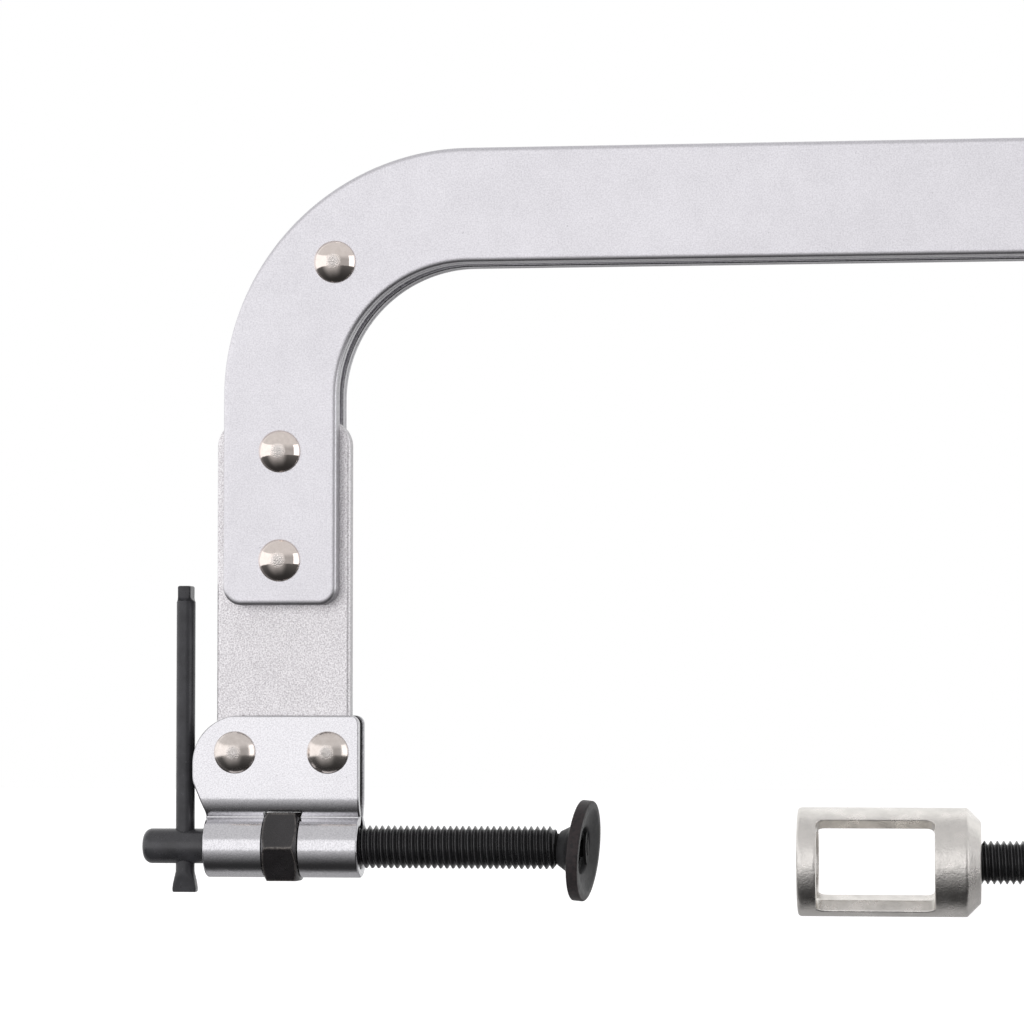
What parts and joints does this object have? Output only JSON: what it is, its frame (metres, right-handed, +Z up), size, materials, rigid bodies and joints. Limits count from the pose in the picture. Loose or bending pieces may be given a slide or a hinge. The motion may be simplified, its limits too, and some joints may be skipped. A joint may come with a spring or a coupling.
{
  "type": "valve spring compressor",
  "caption": "C-shaped riveted plate frame with a screw-fed swivel pad facing a windowed retainer cage that a cam lever pushes to compress an engine valve spring.",
  "frame": {"origin": "where the clamp screw's axis meets the face plane of its swivel pad", "axes": "+X along the clamp screw towards the cage and lever, +Y through the frame plates towards the rear, +Z up to the closed side of the frame"},
  "size_m": [0.5911, 0.03, 0.3341],
  "materials": {
    "plate_zinc": "satin zinc plate",
    "bar_zinc": "rough zinc plate",
    "rivet_nickel": "polished nickel plate",
    "bracket_zinc": "bright zinc plate",
    "hidden_steel": "plain steel",
    "nut_black": "worn black oxide",
    "screw_black": "oiled black oxide",
    "bar_dark": "satin black oxide",
    "pad_dark": "satin black oxide",
    "cage_nickel": "nickel plate on a cast surface",
    "barrel_zinc": "bright zinc plate",
    "ram_black": "oiled black oxide",
    "pin_steel": "bright turned steel",
    "ring_black": "black spring steel",
    "spring_steel": "bright spring wire",
    "lever_zinc": "satin zinc plate",
    "grip_vinyl": "dipped vinyl"
  },
  "bodies": {
    "frame": {"frame_plate_front_outer": "plate_zinc", "frame_plate_front_inner": "plate_zinc", "frame_plate_rear_inner": "plate_zinc", "frame_plate_rear_outer": "plate_zinc", "anvil_leg_bar": "bar_zinc", "ram_leg_bar": "bar_zinc", "corner_spacers": "hidden_steel", "corner_rivets": "rivet_nickel", "anvil_leg_rivets": "rivet_nickel", "ram_leg_rivets": "rivet_nickel", "anvil_bracket": "bracket_zinc", "anvil_bracket_rivets": "rivet_nickel", "screw_nut": "nut_black", "ram_bracket": "bracket_zinc", "ram_bracket_rivets": "rivet_nickel", "fulcrum_plate_front": "bracket_zinc", "fulcrum_plate_rear": "bracket_zinc", "guide_barrel": "barrel_zinc", "guide_ring": "ring_black", "lever_pivot_pin": "pin_steel", "pivot_clip": "ring_black", "stop_sleeve": "hidden_steel", "stop_rivet": "rivet_nickel"},
    "pad_carrier": {"pad_clip": "hidden_steel"},
    "screw": {"anvil_screw": "screw_black"},
    "tommy": {"tommy_bar": "bar_dark"},
    "pad": {"anvil_pad": "pad_dark"},
    "ram_carrier": {"spring_seat": "pin_steel", "return_spring": "spring_steel"},
    "ram": {"ram_rod": "ram_black", "ram_ring": "ring_black", "retainer_cage": "cage_nickel"},
    "lever": {"cam_lever": "lever_zinc", "lever_grip": "grip_vinyl"}
  },
  "joints": [
    {"name": "screw_feed", "type": "slide", "parent": "frame", "child": "pad_carrier", "axis": [1, 0, 0], "range_m": [-0.0543, 0]},
    {"name": "screw_turn", "type": "hinge", "parent": "pad_carrier", "child": "screw", "pos_m": [0, 0, 0], "axis": [1, 0, 0], "range_deg": [-11160, 0]},
    {"name": "tommy_slide", "type": "slide", "parent": "screw", "child": "tommy", "axis": [0, 0, 1], "range_m": [-0.0634, 0.002]},
    {"name": "pad_tilt", "type": "hinge", "parent": "pad_carrier", "child": "pad", "pos_m": [-0.00971, 0, 0], "axis": [0, -1, 0], "range_deg": [0, 10.6]},
    {"name": "lever_swing", "type": "hinge", "parent": "frame", "child": "lever", "pos_m": [0.24513, 0, -0.015], "axis": [0, -1, 0], "range_deg": [0, 110]},
    {"name": "ram_slide", "type": "slide", "parent": "frame", "child": "ram_carrier", "axis": [-1, 0, 0], "range_m": [0, 0.0221], "stiffness_N_per_m": 300, "springref_m": -0.01, "deforming": ["return_spring"]},
    {"name": "ram_turn", "type": "hinge", "parent": "ram_carrier", "child": "ram", "pos_m": [0.1, 0, -0.0035], "axis": [1, 0, 0], "continuous": true}
  ],
  "couplings": [
    {"joint": "screw_feed", "follows": "screw_turn", "m_per_rad": 0.00027852},
    {"joint": "ram_slide", "follows": "lever_swing", "m_per_rad": 0.0115}
  ]
}
